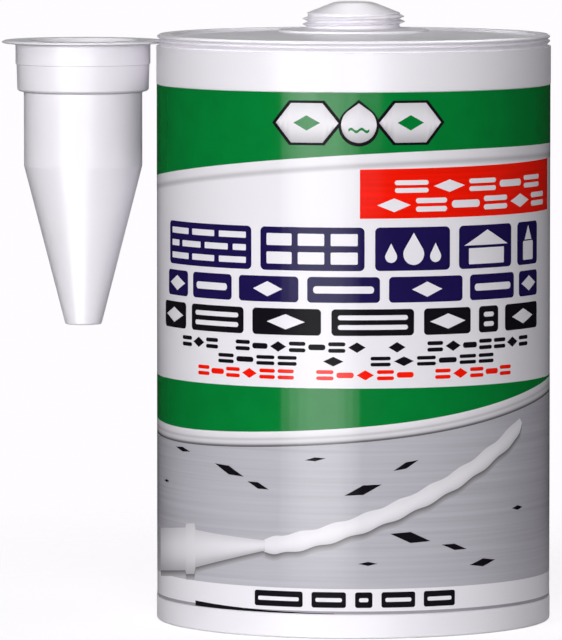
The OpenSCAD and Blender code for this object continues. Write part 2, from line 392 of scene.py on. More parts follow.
def printed(name, colour, spread=0.06, scale=INK_WAVES, stretch=(1, 1, 1), detail=3, coat=1):
    """Varnished ink: its colour, a little uneven as print is, under the label's clear coat."""
    material, nodes, links, shader = tree(name)
    low = tuple(c * (1 - spread) for c in colour)
    high = tuple(min(1, c * (1 + spread)) for c in colour)
    links.new(between(nodes, links, noise(nodes, links, scale, detail, stretch), low, high),
              shader.inputs["Base Color"])
    shader.inputs["Roughness"].default_value = INK_ROUGH
    varnished(shader, coat)
    return material


def shaded(name, stops, spread=0.03):
    """Varnished ink that fades across a field: stops are (share of its height, share of white)."""
    material, nodes, links, shader = tree(name)
    across = nodes.new("ShaderNodeUVMap")
    across.uv_map = "print"
    split = nodes.new("ShaderNodeSeparateXYZ")
    ramp = nodes.new("ShaderNodeValToRGB")
    ramp.color_ramp.interpolation = "B_SPLINE" if len(stops) > 2 else "LINEAR"
    row = ramp.color_ramp.elements
    row[1].position = stops[1][0]
    for share, _ in stops[2:]:
        row.new(share)
    for element, (_, grey) in zip(row, stops):
        element.color = (*(grey * c for c in WHITE), 1)
    grain = between(nodes, links, noise(nodes, links, INK_WAVES, 3), 1 - spread, 1)
    mix = nodes.new("ShaderNodeMix")
    mix.data_type = "RGBA"
    mix.blend_type = "MULTIPLY"
    mix.inputs["Factor"].default_value = 1
    links.new(across.outputs["UV"], split.inputs["Vector"])
    links.new(split.outputs["Y"], ramp.inputs["Fac"])
    links.new(ramp.outputs["Color"], mix.inputs["A"])
    links.new(grain, mix.inputs["B"])
    links.new(mix.outputs["Result"], shader.inputs["Base Color"])
    shader.inputs["Roughness"].default_value = INK_ROUGH
    varnished(shader)
    return material


tube_plastic = moulded("white polyethylene", WHITE, 0.36, 0.06, 0.0004)
nozzle_plastic = moulded("white polyethylene of the nozzle", WHITE, 0.36, 0.18, 0.0012)
piston_plastic = moulded("soft polyethylene", (0.78, 0.78, 0.79), 0.45)
paste_white = moulded("smooth white paste", (0.84, 0.84, 0.82), 0.3, 0.2)
film_white = printed("varnished white film", WHITE, 0.01, 60)
ink_green = printed("varnished green ink", (0.0014, 0.196, 0.033))
ink_red = printed("varnished red ink", (0.91, 0.01, 0.002), 0.1, 500, (0.1, 0.1, 4))
ink_navy = printed("varnished dark blue ink", (0.012, 0.007, 0.07), coat=0.45)
ink_black = printed("varnished black ink", (0.007, 0.006, 0.009), coat=0.15)
ink_white = printed("varnished white ink", WHITE, 0.015)
ink_silver = printed("brushed silver ink", (0.455, 0.443, 0.492), 0.07, 260, (0.12, 0.12, 9), 5)
# painted shade: a grey line along the film's lower edge, where the edge would shade the film
ink_edge_shade = printed("grey ink painted as shade under the film's edge", (0.33, 0.32, 0.355))
ink_upper_line = shaded("soft line under the upper band",
                        [(0, 1), (0.12, 0.8), (0.27, 0.62), (0.42, 0.89), (0.55, 1), (1, 1)])
ink_lower_line = shaded("soft line under the lower band",
                        [(0, 0.11), (0.1, 0.16), (0.2, 0.69), (0.38, 0.93), (0.5, 0.56), (0.64, 0.95),
                         (1, 1)])
ink_bead = shaded("rounded white bead", [(0, 0.69), (0.25, 0.93), (0.6, 1), (1, 0.89)])
ink_plate = shaded("pale moulded sign", [(0, 0.46), (0.3, 0.89), (0.65, 1), (1, 0.73)])
ink_shade = shaded("soft shade on the silver", [(0, 0.55), (0.5, 0.33), (1, 0.11)])


# Mouldings: their corners are (r, z, radius of the corner's arc)

def tube_outline():
    """Section of the tube: down its inside from the neck's cavity, up its outside to the neck's foot."""
    inside = [(0, cavity_z), (cavity_r, cavity_z, 0.3), (neck_bore_r, cone_z, 0.3),
              (neck_bore_r, under_z + shoulder_rise, 0.3), (foot_r, under_z + shoulder_rise, 2),
              (bore_r, under_z, corner), (bore_r, lead_h, 1), (bore_r + lead_d, 0, 0.25)]
    foot_low = shoulder_z + shoulder_rise
    outside = [(tube_r, 0, 0.3), (tube_r, label_z - seat_gap, 0.05), (seat_r, label_z - seat_gap),
               (seat_r, label_top + seat_gap), (tube_r, label_top + seat_gap, 0.05),
               (tube_r, groove_low, 0.04), (groove_r, groove_low + groove_ledge, 0.03),
               (groove_r, groove_low + groove_ledge + groove_flat, 0.05),
               (ring_r, ring2_z - ring_land / 2, 0.03),
               (ring_r, ring2_z + ring_land / 2, 0.03),
               (ring_r - notch_d, ring2_z + ring_land / 2 + groove_ledge, 0.04),
               (ring_r, ring1_z - ring_land, 0.03), (ring_r, ring1_z, 0.04),
               (ring_r - ring_slope, rim_z, 0.1), (rim_in_r, rim_z, 0.12), (rim_in_r, shoulder_z, 0.1),
               (foot_r, foot_low, 0.1), (foot_r, foot_z, 0.1), (neck_r + foot_fillet, foot_z + foot_rise)]
    return inside, outside


def make_tube():
    """The tube: its turned outline, rows up the neck for the thread's ridge, and the closing cone."""
    inside, outside = tube_outline()
    low = rounded([*inside, *outside])[:-1]
    rows = thread_rows(neck_r, foot_z + foot_rise, cone_z - cone_lip, foot_fillet)
    cone = rounded([(neck_r, foot_z), (neck_r, cone_z - cone_lip), (neck_r + cone_lip, cone_z, 0.05),
                    (cone_end_r + cone_round, tip_z - cone_drop, 0.8), (cone_end_r, tip_z, 0.8),
                    (0, tip_z)])[2:]
    outline = np.concatenate([low, rows, cone])
    points, faces = turned(outline, shift=ridge(thread_z, neck_thread_turn, neck_r, 1))
    return new_piece("tube", points, faces, tube_plastic)


def make_nozzle():
    """The nozzle as it hangs: down its outside from the mouth, round the tip, up its threaded inside."""
    z = flange_z
    edge_z = z - edge_share * flange_t
    low_r = collar_r - step_d - collar_draft
    start = z - mouth_depth - ridge_w - pitch * thread_turns
    outside = [(collar_r, z, 0), (flange_r - flange_slope, z, 0.1), (flange_r, edge_z, 0.04),
               (flange_r, edge_z - flange_edge, 0.04), (flange_r - flange_under, z - flange_t, 0.05),
               (collar_r, z - flange_t, 0.06), (collar_r, z - step_h, 0.05),
               (collar_r - step_d, z - step_h, 0.05), (low_r, z - collar_h, 0.05),
               (low_r - collar_round, z - collar_h - collar_round, 0.05),
               (body_r, z - collar_h - collar_chamfer, 0.06), (body_r, z - cone_start, 1.2),
               (tip_r, z - nozzle_len, 0.25), (tip_bore_r, z - nozzle_len, 0.2),
               (socket_r, z - cone_start, 1), (socket_r, start - thread_run)]
    rows = thread_rows(socket_r, start - ridge_w, z - mouth_depth - mouth_plain)
    mouth = rounded([(socket_r, z - mouth_depth - mouth_plain), (socket_r, z - mouth_depth, 0.1),
                     (socket_r + mouth_chamfer, z, 0.12), (collar_r, z)])[1:-1]
    outline = np.concatenate([rounded(outside)[1:], rows, mouth])[::-1]
    points, faces = turned(outline, (nozzle_x, nozzle_y), True, ridge(start, 0, socket_r, -1))
    piece = new_piece("nozzle_moulding", points, faces, nozzle_plastic)
    piece.visible_glossy = False       # the label's varnish shows no second nozzle
    return piece


def make_piston():
    """The piston: a hollow underside with ribs, lips that flare and end square, and a low dome."""
    base = piston_z
    lips = []
    for k in range(lip_count):
        low = base + lip_low + k * lip_step
        lips += [(side_r, low, 0.08), (lip_r, low + lip_flare, 0.1), (lip_r, low + lip_h, 0.06),
                 (side_r, low + lip_h, 0.1)]
    under = base + floor_z + shoulder_rise
    rib_low = base + floor_z - rib_h
    outline = rounded([(0, under), (hub_r - rib_t, under, 0.2), (hub_r - rib_t, rib_low, 0.15),
                       (hub_r, rib_low, 0.15), (hub_r, under, 0.2), (foot_r, under, 1),
                       (cup_r, base + floor_z, 0.5), (cup_r, base, 0.2), (side_r, base, 0.15), *lips,
                       (side_r, base + piston_h, 0.3), (foot_r, base + piston_h + shoulder_rise, 2),
                       (0, base + piston_h + shoulder_rise)])
    return new_piece("piston_moulding", *joined([turned(outline), make_ribs(under)]), piston_plastic)


def make_ribs(under):
    """Radial ribs under the piston's floor: one box of eight corners, turned by each part of a circle."""
    inner, outer = hub_r - rib_t / 2, cup_r + piston_wall / 2
    low, high = piston_z + floor_z - rib_h, under - shoulder_rise + piston_wall / 2
    box = np.array([[r, w, z] for z in (low, high) for r, w in
                    [(inner, -rib_t / 2), (outer, -rib_t / 2), (outer, rib_t / 2), (inner, rib_t / 2)]])
    turn = np.arange(rib_count) * 2 * math.pi / rib_count
    x = box[:, 0] * np.cos(turn)[:, None] - box[:, 1] * np.sin(turn)[:, None]
    y = box[:, 0] * np.sin(turn)[:, None] + box[:, 1] * np.cos(turn)[:, None]
    points = np.stack([x, y, np.repeat(box[None, :, 2], rib_count, 0)], -1).reshape(-1, 3)
    sides = np.array([[3, 2, 1, 0], [4, 5, 6, 7], [0, 1, 5, 4], [1, 2, 6, 5], [2, 3, 7, 6], [3, 0, 4, 7]])
    return points, [(np.arange(rib_count)[:, None, None] * 8 + sides).reshape(-1, 4)]


def make_paste():
    """The paste: it fills the tube and the hollow neck, a small gap away from the tube and the piston."""
    low = piston_z + piston_h + paste_gap
    high = under_z - paste_gap
    r = bore_r - paste_gap
    neck = neck_bore_r - paste_gap
    outline = rounded([(0, low + shoulder_rise), (foot_r, low + shoulder_rise, 2), (r, low, 0.1),
                       (r, high, corner), (foot_r, high + shoulder_rise, 2),
                       (neck, high + shoulder_rise, 0.3), (neck, cone_z - paste_gap, 0.2),
                       (cavity_r - paste_gap, cavity_z - paste_gap, 0.2), (0, cavity_z - paste_gap)])
    return new_piece("paste", *turned(outline), paste_white)


def make_film():
    """The wrap-round film: a tube with softly rounded edges, a little below the wall."""
    mid = (label_z + label_top) / 2
    inner = film_r - film_t
    outline = rounded([(film_r, mid), (film_r, label_top, 0.05), (inner, label_top, 0.03),
                       (inner, label_z, 0.03), (film_r, label_z, 0.05), (film_r, mid)])[:-1]
    return new_piece("label_film", *turned(outline, closed=True), film_white)


# Print: thin closed shells on the film

INK_STEP = 1.0         # degrees from one column of a printed field to the next
INK_LAYER = 0.008      # height of each layer of ink over the one below it
INK_ROOT = 0.01        # how far ink is sunk into the film
SECOND, THIRD, FOURTH = 2, 3, 4    # layers of ink over the first one
THIN = 0.02            # least height of a field, at its pointed ends
TO_DEG = 180 / (math.pi * film_r)


def field(angles, low, high, layer=1):
    """A printed field: a shell between two radii, from low(angle) up to high(angle) round the tube.

    Each column has four points: inside low, outside low, outside high and inside high. A field that goes
    all the way round joins its last column to its first, and any other is closed by a cap at each end.
    """
    angles = np.asarray(angles, float)
    whole = angles[-1] - angles[0] > 359.9
    if whole:
        angles = angles[:-1]
    low = np.broadcast_to(np.asarray(low(angles) if callable(low) else low, float), angles.shape)
    high = np.broadcast_to(np.asarray(high(angles) if callable(high) else high, float), angles.shape)
    middle = (low + high) / 2
    low, high = np.minimum(low, middle - THIN / 2), np.maximum(high, middle + THIN / 2)
    inner = np.full(angles.shape, film_r - INK_ROOT)
    outer = np.full(angles.shape, film_r + INK_LAYER * layer)
    side = np.radians(angles)
    r = np.stack([inner, outer, outer, inner], -1)
    z = np.stack([low, low, high, high], -1)
    points = np.stack([r * np.sin(side)[:, None], -r * np.cos(side)[:, None], z], -1).reshape(-1, 3)
    n = len(angles)
    j = np.arange(n if whole else n - 1)[:, None]
    k = np.arange(4)[None, :]
    on = (j + 1) % n
    up = (k + 1) % 4
    faces = [np.stack([4 * j + k, 4 * on + k, 4 * on + up, 4 * j + up], -1).reshape(-1, 4)]
    if not whole:
        faces.append(np.array([[0, 1, 2, 3], [4 * n - 1, 4 * n - 2, 4 * n - 3, 4 * n - 4]]))
    return points, faces


def span(start, end):
    """Columns from one angle to another."""
    return np.linspace(start, end, max(2, math.ceil((end - start) / INK_STEP) + 1))


def tile(side, z, width, height, round_r, layer=1, lean=0):
    """A tile with round corners about (side, z), whose middle rises by lean for each millimetre across."""
    half = width / 2
    q = min(round_r, half, height / 2)
    bow = q * np.sin(np.radians(np.linspace(0, 90, 7)))
    flat = np.linspace(-(half - q), half - q, max(2, math.ceil((width - 2 * q) * TO_DEG / INK_STEP) + 1))
    x = np.unique(np.round(np.concatenate([-(half - q) - bow, flat, (half - q) + bow]), 6))
    rise = height / 2 - q + np.sqrt(np.maximum(0, q * q - np.maximum(0, np.abs(x) - (half - q)) ** 2))
    return field(side + x * TO_DEG, z + lean * x - rise, z + lean * x + rise, layer)


def lozenge(side, z, width, height, layer=1, lean=0, full=1):
    """A diamond, or with full = 2 a hexagon that has its full height half way in; it leans like a tile."""
    x = np.linspace(-width / 2, width / 2, 13)
    rise = height / 2 * np.minimum(1, full * (1 - np.abs(x) / (width / 2)))
    return field(side + x * TO_DEG, z + lean * x - rise, z + lean * x + rise, layer)


def peak(side, z, width, height, layer=1):
    """A roof: a level lower edge and two straight slopes that meet over its middle."""
    x = np.linspace(-width / 2, width / 2, 2 * math.ceil(width) + 1)
    eaves = z - height / 2
    return field(side + x * TO_DEG, eaves, eaves + height * (1 - np.abs(x) / (width / 2)), layer)


def drop(side, z, width, height, layer=1):
    """A drop: a circle below, and above it the two lines from its sides that meet at the point."""
    q = width / 2
    apex = height - q
    cross = q * math.sqrt(1 - (q / apex) ** 2)
    x = q * np.sin(np.radians(np.linspace(-90, 90, 25)))
    bow = np.sqrt(np.maximum(0, q * q - x * x))
    line = apex - (apex - q * q / apex) / cross * np.abs(x)
    middle = z - height / 2 + q
    return field(side + x * TO_DEG, middle - bow, middle + np.where(np.abs(x) < cross, line, bow), layer)


def wave(side, z, width, swing, thick, turns, layer=1):
    """A wavy line: a band of even height about a sine."""
    x = np.linspace(-width / 2, width / 2, 12 * turns + 1)
    y = z + swing * np.sin(2 * math.pi * turns * (x / width + 0.5))
    return field(side + x * TO_DEG, y - thick / 2, y + thick / 2, layer)


def with_share(piece):
    """UV map "print" whose second number is 0 on a field's low edge and 1 on its high edge."""
    mesh = piece.data
    uv = mesh.uv_layers.new(name="print")
    corners = np.zeros(len(mesh.loops), np.int32)
    mesh.loops.foreach_get("vertex_index", corners)
    share = np.stack([corners // 4 / 100.0, (corners % 4 >= 2).astype(float)], -1)
    uv.data.foreach_set("uv", share.astype(np.float32).ravel())
    return piece


def ink(name, parts, material):
    """One piece of several printed fields in the same ink."""
    return new_piece(name, *joined(parts), material)


# Heights of the printed fields, as on the drawing of the label; a wave is (rise, side)
green_top = label_top - 0.02
upper_edge = label_top - 9.31
UPPER_WAVES = [(2.53, 57.6), (0.44, -28.8)]
lower_line = 31.25
lower_edge = 27.59
LOWER_WAVES = [(2.4, 101.6), (0.98, 81.6), (0.38, -18.2)]
line_w = 1.9
silver_low = 6.26
panel_low, panel_top, panel_rise = 52.35, 58.45, 0.4
panel_start, panel_end = 1.3, 78
# a line of painted shade along the film's lower edge
edge_shade_low, edge_shade_high = 3.09, 3.45
around = span(-180, 180)


def swung(a, waves):
    """Rise of a slanted edge: the sum of rise * cos(k * (a - side)) over its waves, k = 1, 2 and so on."""
    return sum(rise * np.cos(np.radians(k * (a - side))) for k, (rise, side) in enumerate(waves, 1))


def upper(a):
    """Lower edge of the upper green band."""
    return upper_edge + swung(a, UPPER_WAVES)


def lower(a):
    """Lower edge of the lower green band, which ends in a point where it meets the band's level top."""
    return np.minimum(lower_edge + swung(a, LOWER_WAVES), lower_line)


def silver_top(a):
    """Upper edge of the silver field, a line's width under the lower band's edge."""
    return lower_edge - line_w + swung(a, LOWER_WAVES)


def panel_high(a):
    """Upper edge of the red panel, which rises evenly from its start to its end."""
    return panel_top + panel_rise * (a - panel_start) / (panel_end - panel_start)


def make_fields():
    """The large fields: two green bands, a soft line under each, silver field, red panel, a painted shade
    line.
    """
    green = ink("label_green", [field(around, upper, green_top), field(around, lower, lower_line)],
                ink_green)
    green.visible_diffuse = False      # the band casts no green light on the nozzle beside it
    upper_line = ink("label_upper_line", [field(around, lambda a: upper(a) - line_w, upper)],
                     ink_upper_line)
    lower_soft = ink("label_lower_line", [field(around, silver_top, lambda a: silver_top(a) + line_w)],
                     ink_lower_line)
    silver = ink("label_silver", [field(around, silver_low, silver_top)], ink_silver)
    red = ink("label_red", [field(span(panel_start, panel_end), panel_low, panel_high, SECOND),
                            *signs(*RED_SIGNS)], ink_red)
    # painted shade: a grey line along the film's lower edge
    foot = ink("label_painted_edge_shade", [field(around, edge_shade_low, edge_shade_high)], ink_edge_shade)
    return [(green, "label_green"), (with_share(upper_line), "label_film"),
            (with_share(lower_soft), "label_film"), (silver, "label_silver"), (red, "label_red"),
            (foot, "label_silver")]


def row_of(start, end, widths, gap):
    """Middles in degrees and widths in millimetres of a row of tiles, their widths in the given shares."""
    room = end - start - gap * (len(widths) - 1)
    out, at = [], start
    for share in widths:
        turn = room * share / sum(widths)
        out.append((at + turn / 2, turn / TO_DEG))
        at += turn + gap
    return out


def signs(start, end, z, height, codes, layer=1):
    """A row of small plain signs: = is two dashes, - is a bar, o is a diamond, and a blank is a gap."""
    step = (end - start) / len(codes)
    width = SIGN_SHARE * step / TO_DEG
    dash_h, shift, dash_round = DASH_H * height, DASH_SHIFT * height, DASH_ROUND * height
    out = []
    for k, code in enumerate(codes):
        side = start + (k + 0.5) * step
        if code == "=":
            out += [tile(side, z + way * shift, width, dash_h, dash_round, layer) for way in (-1, 1)]
        if code == "-":
            out.append(tile(side, z, width, SINGLE_H * height, SINGLE_ROUND * height, layer))
        if code == "o":
            out.append(lozenge(side, z, width, height, layer))
    return out


# Rows of tiles: middle and height up the tube, then first side, last side, shares of the width, and gap
HEAD_Z, HEAD_H = 48.55, 5.4        # the row of large dark blue tiles
HEADS = (-68, 67, [36, 30, 22, 20, 12], 3)
BAR_Z, BAR_H = 43.5, 3.2           # the row of smaller ones under it
BARS = (-69, 67, [13, 17, 20, 22, 24, 19, 12], 2.6)
BLOCK_Z, BLOCK_H = 39.45, 3.3      # the row of black tiles
BLOCKS = (-72, 67, [15, 22, 22, 25, 16, 8, 19], 3)
FOOT_Z, FOOT_H = 4.87, 1.95        # the black tiles in the white band
FEET = (-30, 30, [6, 4, 2, 4, 4], 2.6)
JOINT = 0.8                        # width of the gaps within a sign

# Rows of small signs: first side, last side, height on the tube, height of the signs, codes, layer
RED_SIGNS = (-52, 52, 32.9, 1.25, "=-=o== =-o=- =o=-=")
BLACK_SIGNS = [(-60, 61, 36.35, 1.3, "=o= =-o=-=o o =o-==o="), (-43.5, 44.5, 34.6, 1.2, "=-== o =o=-==")]
PANEL_SIGNS = [(10.5, 69, 56.3, 1.55, "=o=-=", THIRD), (5.5, 73, 54.0, 1.7, "o=-=o=", THIRD)]

SIGN_SHARE = 0.86      # width of a small sign as a share of its step; the rest are shares of its height
DASH_SHIFT, DASH_H, DASH_ROUND = 0.31, 0.38, 0.2
SINGLE_H, SINGLE_ROUND = 0.55, 0.25


def bricks(side, width):
    """Three rows of bricks, the middle row set off by half a brick."""
    border_w, border_h = 1.6, 1.5
    inner, height = width - border_w, (HEAD_H - border_h - 2 * JOINT) / 3
    out = []
    for row, shares in enumerate([[1, 1, 1], [0.5, 1, 1, 0.5], [1, 1, 1]]):
        z = HEAD_Z + (1 - row) * (height + JOINT)
        room = inner - JOINT * (len(shares) - 1)
        at = -inner / 2
        for share in shares:
            w = room * share / 3
            out.append(tile(side + (at + w / 2) * TO_DEG, z, w, height, 0.12, SECOND))
            at += w + JOINT
    return out


def panes(side, width, columns, rows):
    """The panes of a window."""
    border_w, border_h = 1.7, 1.6
    w = (width - border_w - JOINT * (columns - 1)) / columns
    h = (HEAD_H - border_h - JOINT * (rows - 1)) / rows
    return [tile(side + (i - (columns - 1) / 2) * (w + JOINT) * TO_DEG,
                 HEAD_Z + (j - (rows - 1) / 2) * (h + JOINT), w, h, 0.15, SECOND)
            for i in range(columns) for j in range(rows)]


def drops(side):
    """A large drop between two small ones."""
    apart, lower_by = 2.9, 0.5
    return [drop(side, HEAD_Z, 2.7, 4, SECOND)] + \
           [drop(side + way * apart * TO_DEG, HEAD_Z - lower_by, 1.5, 2.4, SECOND) for way in (-1, 1)]


def house(side, width):
    """A roof over a wall."""
    apart = 1.15
    return [peak(side, HEAD_Z + apart, width - 1.6, 1.9, SECOND),
            tile(side, HEAD_Z - apart, width - 3, 2, 0.1, SECOND)]


def cartridge_sign(side):
    """A cartridge with its nozzle."""
    body_drop, tip_rise = 0.9, 1.35
    return [tile(side, HEAD_Z - body_drop, 2.6, 2.4, 0.2, SECOND),
            peak(side, HEAD_Z + tip_rise, 1.8, 1.8, SECOND)]


def make_words():
    """Rows of tiles, bars and small signs where a label has its headings."""
    heads, bars, blocks, foot = [row_of(*row) for row in (HEADS, BARS, BLOCKS, FEET)]
    white = [*bricks(*heads[0]), *panes(*heads[1], 3, 2), *drops(heads[2][0]), *house(*heads[3]),
             *cartridge_sign(heads[4][0])]
    for k, (side, w) in enumerate(bars):
        white += [tile(side, BAR_Z, w - 1.5, 0.9, 0.4, SECOND)] if k % 2 else \
                 [lozenge(side, BAR_Z, min(w - 1.2, 4), 1.9, SECOND)]
    for k, (side, w) in enumerate(blocks):
        white += [tile(side, BLOCK_Z + h, w - 1.6, 0.6, 0.3, SECOND) for h in (-0.6, 0.6)] if k % 2 else \
                 [lozenge(side, BLOCK_Z, min(w - 1.4, 5), 1.9, SECOND)]
    white += [tile(side, FOOT_Z, w - 1, 0.5, 0.2, SECOND) for side, w in foot if w > 2]
    white += [sign for row in PANEL_SIGNS for sign in signs(*row)]
    navy = [tile(side, HEAD_Z, w, HEAD_H, 0.6) for side, w in heads] + \
           [tile(side, BAR_Z, w, BAR_H, 0.5) for side, w in bars]
    black = [tile(side, BLOCK_Z, w, BLOCK_H, 0.5) for side, w in blocks] + \
            [tile(side, FOOT_Z, w, FOOT_H, 0.3) for side, w in foot] + \
            [sign for row in BLACK_SIGNS for sign in signs(*row)]
    return [(ink("label_navy", navy, ink_navy), "label_navy"),
            (ink("label_black", black, ink_black), "label_black"),
            (ink("label_white", white, ink_white), "label_film")]


# The badge in the upper green band: a drop between two plates, each with a dark edge
BADGE_Z, BADGE_H = 64.2, 4.9
BADGE_EDGE = 0.32
PLATE_SIDES, PLATE_W = (-14, 16), 8
DROP_SIDE, DROP_W = 1, 4.4
PLATE_GROW, DROP_GROW = 1.6, 1.4   # how much more they grow across slanted sides, for an even edge


def make_badge():
    """The badge: its plates and drop grown by the edge, the same in white, and green marks on them."""
    def marks(grow, layer):
        """Two plates and a drop, this much larger than drawn."""
        return [lozenge(side, BADGE_Z, PLATE_W + PLATE_GROW * grow, BADGE_H + grow, layer, full=2)
                for side in PLATE_SIDES] + \
               [drop(DROP_SIDE, BADGE_Z, DROP_W + grow, BADGE_H + DROP_GROW * grow, layer)]
    edge = ink("label_badge_edge", marks(2 * BADGE_EDGE, SECOND), ink_black)
    plate = ink("label_badge", marks(0, THIRD), ink_plate)
    core = ink("label_badge_core", [lozenge(side, BADGE_Z, 3.4, 1.9, FOURTH) for side in PLATE_SIDES] +
               [wave(DROP_SIDE, BADGE_Z - 0.9, 2.6, 0.18, 0.35, 2, FOURTH)], ink_green)
    return [(edge, "label_black"), (with_share(plate), "label_film"), (core, "label_green")]


# The picture, in millimetres round the film from the front, and up the tube
BEAD_START, BEAD_END = -12, 25     # the drawn bead of paste
BEAD_LOW, BEAD_RISE = 11.4, 14.6
BEAD_HALF, BEAD_SWELL, BEAD_SWELLS = 1.15, 0.12, 9
BEAD_NARROW = 0.55                 # share of its width at its start
BEAD_WIDENS, BEAD_ENDS = 0.05, 0.03    # shares of the way over which it widens and runs out
BEAD_COLUMNS, SIGN_COLUMNS, WEDGE_COLUMNS = 75, 89, 48
SIGN_END = -34                     # the drawn nozzle that lays it
SIGN_LEAN = 0.1
SIGN_OVER = 0.4                    # how far its tip runs over the bead
SIGN_PROFILE = [(SIGN_END, 2.7), (-25.2, 2.7), (-25.1, 3.2), (-23.3, 3.2), (-23.2, 2.4),
                (BEAD_START, 0.7)]         # (place, half height)
BEAD_SHADE, SIGN_SHADE = 0.8, 0.7  # how far their shades reach below them
OVERLAP = 0.1                      # how far a shade runs in under them
# The dark chips: (place, z, width, height, lean)
CHIPS = [(-26, 22.6, 3.6, 0.6, -0.1), (-17, 20.6, 4.6, 1.1, -0.3), (-12.6, 18.9, 3, 0.8, -0.3),
         (-5, 22.4, 2.6, 0.5, 0.1), (7, 12.6, 5.2, 1.4, -0.2), (13, 11.2, 3.6, 0.8, -0.2),
         (1.6, 9.4, 2.4, 0.5, 0), (24, 15.4, 2.4, 0.6, 0), (-31, 18.2, 2, 0.4, 0),
         (1, 18.6, 4.6, 1.2, 0.3), (6.4, 21.6, 3.2, 0.8, 0.4), (17.4, 9, 4.2, 1, 0.1)]
WEDGE_START, WEDGE_END = -53, -6   # degrees: the dark wedge of painted shade where the film's edge line starts
WEDGE_LOW, WEDGE_THIN, WEDGE_THICK = 0.02, 0.08, 0.6


def make_picture():
    """A drawn nozzle that lays a bead of paste, dark chips beside it, and a painted-shade wedge at the
    film's foot.

    The bead's middle rises as its share s of the way to the power 1.5. Its width starts narrow, swells and
    shrinks a little by a sine, and runs out in a half circle. The nozzle's half height follows its profile.
    The wedge thins out by the power 1.4 of what is left of its way.
    """
    x = np.linspace(BEAD_START, BEAD_END, BEAD_COLUMNS)
    s = (x - BEAD_START) / (BEAD_END - BEAD_START)
    mid = BEAD_LOW + BEAD_RISE * s ** 1.5
    start, tip = np.clip(s / BEAD_WIDENS, 0, 1), np.clip((1 - s) / BEAD_ENDS, 0, 1)
    swell = BEAD_HALF + BEAD_SWELL * np.sin(2 * math.pi * BEAD_SWELLS * s)
    half = swell * np.sqrt(tip * (2 - tip)) * (BEAD_NARROW + (1 - BEAD_NARROW) * start)
    bead = field(x * TO_DEG, mid - half, mid + half, THIRD)
    shade = [field(x * TO_DEG, mid - half - BEAD_SHADE, mid - half + OVERLAP, SECOND)]
    x = np.linspace(SIGN_END, BEAD_START + SIGN_OVER, SIGN_COLUMNS)
    mid = BEAD_LOW + SIGN_LEAN * (x - BEAD_START)
    half = np.interp(x, *zip(*SIGN_PROFILE))
    nozzle = field(x * TO_DEG, mid - half, mid + half, THIRD)
    shade.append(field(x * TO_DEG, mid - half - SIGN_SHADE, mid - half + OVERLAP, SECOND))
    chips_and_shade = [lozenge(x * TO_DEG, z, w, h, SECOND, lean) for x, z, w, h, lean in CHIPS]
    side = np.linspace(WEDGE_START, WEDGE_END, WEDGE_COLUMNS)
    left = (WEDGE_END - side) / (WEDGE_END - WEDGE_START)
    shade_wedge_high = edge_shade_low + WEDGE_THIN + WEDGE_THICK * left ** 1.4
    # painted shade: the dark wedge where the line of shade along the film's lower edge starts
    chips_and_shade.append(field(side, edge_shade_low + WEDGE_LOW, shade_wedge_high, SECOND))
    return [(with_share(ink("label_bead", [bead], ink_bead)), "label_film"),
            (with_share(ink("label_nozzle_sign", [nozzle], ink_plate)), "label_film"),
            (with_share(ink("label_shade", shade, ink_shade)), "label_silver"),
            (ink("label_chips_and_shade_wedge", chips_and_shade, ink_black), "label_black")]


# Every piece rides on the body that its node belongs to, and the mouldings and the film stand for theirs

layers = make_fields() + make_words() + make_badge() + make_picture()
pieces = [(make_tube(), "cartridge", "tube_plastic", ["barrel"]),
          (make_nozzle(), "cartridge", "nozzle_plastic", ["nozzle"]),
          (make_film(), "cartridge", "label_film", ["label"]),
          (make_piston(), "piston", "piston_plastic", ["piston"])]
pieces += [(piece, "cartridge", slot, []) for piece, slot in layers]
for piece, body, slot, nodes in pieces:
    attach(piece, body)
    if nodes:
        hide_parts(*nodes)

paste = make_paste()
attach(paste, "cartridge")
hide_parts("sealant")
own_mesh(paste)


# Camera, floor, world and lights, in metres and degrees

SENSOR_W = 36          # millimetres, as the lens
LENS = 448.8
SEEN_FROM = (-0.0092, -1.011, 0.1132)
LOOK_DOWN = 4.258
SIGHT_END = 20


def make_camera():
    """The camera: from just above, through a very long lens."""
    data = bpy.data.cameras.new("camera")
    data.sensor_width = SENSOR_W
    data.lens = LENS
    data.clip_end = SIGHT_END
    camera = bpy.data.objects.new("camera", data)
    camera.location = SEEN_FROM
    camera.rotation_euler = (math.radians(90 - LOOK_DOWN), 0, 0)
    bpy.context.scene.collection.objects.link(camera)
    bpy.context.scene.camera = camera


BACKDROP = (1.0, 0.975, 1.0)
AMBIENT_COLOUR = (1, 0.985, 1)
AMBIENT = 0.01


def make_world():
    """White behind everything for the camera, and a low even light for the rest."""
    world = bpy.data.worlds.new("pale room")
    bpy.context.scene.world = world
    world.use_nodes = True
    nodes, links = world.node_tree.nodes, world.node_tree.links
    even = nodes["Background"]
    even.inputs["Color"].default_value = (*AMBIENT_COLOUR, 1)
    even.inputs["Strength"].default_value = AMBIENT
    seen = nodes.new("ShaderNodeBackground")
    seen.inputs["Color"].default_value = (*BACKDROP, 1)
    path = nodes.new("ShaderNodeLightPath")
    mix = nodes.new("ShaderNodeMixShader")
    links.new(path.outputs["Is Camera Ray"], mix.inputs["Fac"])
    links.new(even.outputs["Background"], mix.inputs[1])
    links.new(seen.outputs["Background"], mix.inputs[2])
    links.new(mix.outputs["Shader"], nodes["World Output"].inputs["Surface"])


FLOOR_R = 160          # millimetres
FLOOR_Z = -0.01        # millimetres
FLOOR_RINGS = 32
FLOOR_SIDES = 96
FLOOR_COLOUR = (0.45, 0.44, 0.45)
FLOOR_LIFT = 0.79      # share of the backdrop that the camera sees on the floor without any light
FADE_START = 0.05      # metres from the axis
FADE_END = 0.15


